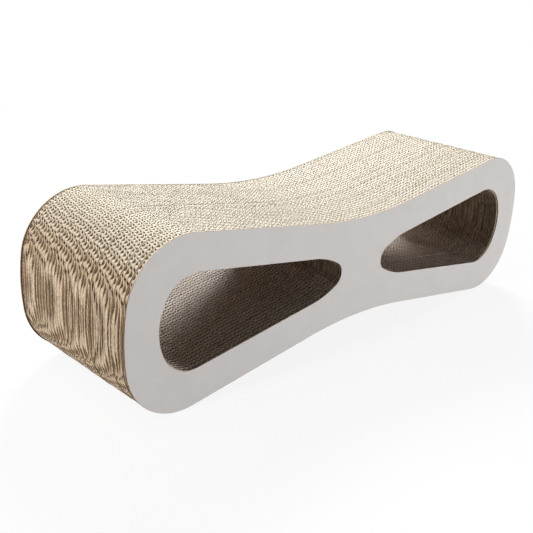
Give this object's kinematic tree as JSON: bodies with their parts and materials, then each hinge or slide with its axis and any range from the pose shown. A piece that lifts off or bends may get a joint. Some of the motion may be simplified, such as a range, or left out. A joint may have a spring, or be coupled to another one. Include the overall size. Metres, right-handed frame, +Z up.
{
  "type": "cat scratcher lounge",
  "caption": "Low dog-bone lounge of corrugated sheets glued on edge, with a waisted top for a cat to lie on and scratch, teardrop windows and smooth side panels.",
  "frame": {"origin": "on the floor under the middle of the block, at the centre of its bounding box's base", "axes": "+X along the length, +Y through the stack of boards from the front panel to the rear panel, +Z up"},
  "size_m": [0.864, 0.242, 0.242],
  "materials": {
    "corrugated_board": "raw kraft paper, cut edges",
    "coated_panel": "smooth pale grey coating, satin"
  },
  "bodies": {
    "root": {"front_panel": "coated_panel", "rear_panel": "coated_panel", "corrugated_sheet_01": "corrugated_board", "corrugated_sheet_02": "corrugated_board", "corrugated_sheet_03": "corrugated_board", "corrugated_sheet_04": "corrugated_board", "corrugated_sheet_05": "corrugated_board", "corrugated_sheet_06": "corrugated_board", "corrugated_sheet_07": "corrugated_board", "corrugated_sheet_08": "corrugated_board", "corrugated_sheet_09": "corrugated_board", "corrugated_sheet_10": "corrugated_board", "corrugated_sheet_11": "corrugated_board", "corrugated_sheet_12": "corrugated_board", "corrugated_sheet_13": "corrugated_board", "corrugated_sheet_14": "corrugated_board", "corrugated_sheet_15": "corrugated_board", "corrugated_sheet_16": "corrugated_board", "corrugated_sheet_17": "corrugated_board", "corrugated_sheet_18": "corrugated_board", "corrugated_sheet_19": "corrugated_board", "corrugated_sheet_20": "corrugated_board", "corrugated_sheet_21": "corrugated_board", "corrugated_sheet_22": "corrugated_board", "corrugated_sheet_23": "corrugated_board", "corrugated_sheet_24": "corrugated_board", "corrugated_sheet_25": "corrugated_board", "corrugated_sheet_26": "corrugated_board", "corrugated_sheet_27": "corrugated_board", "corrugated_sheet_28": "corrugated_board", "corrugated_sheet_29": "corrugated_board", "corrugated_sheet_30": "corrugated_board", "corrugated_sheet_31": "corrugated_board", "corrugated_sheet_32": "corrugated_board", "corrugated_sheet_33": "corrugated_board", "corrugated_sheet_34": "corrugated_board", "corrugated_sheet_35": "corrugated_board"}
  },
  "joints": []
}
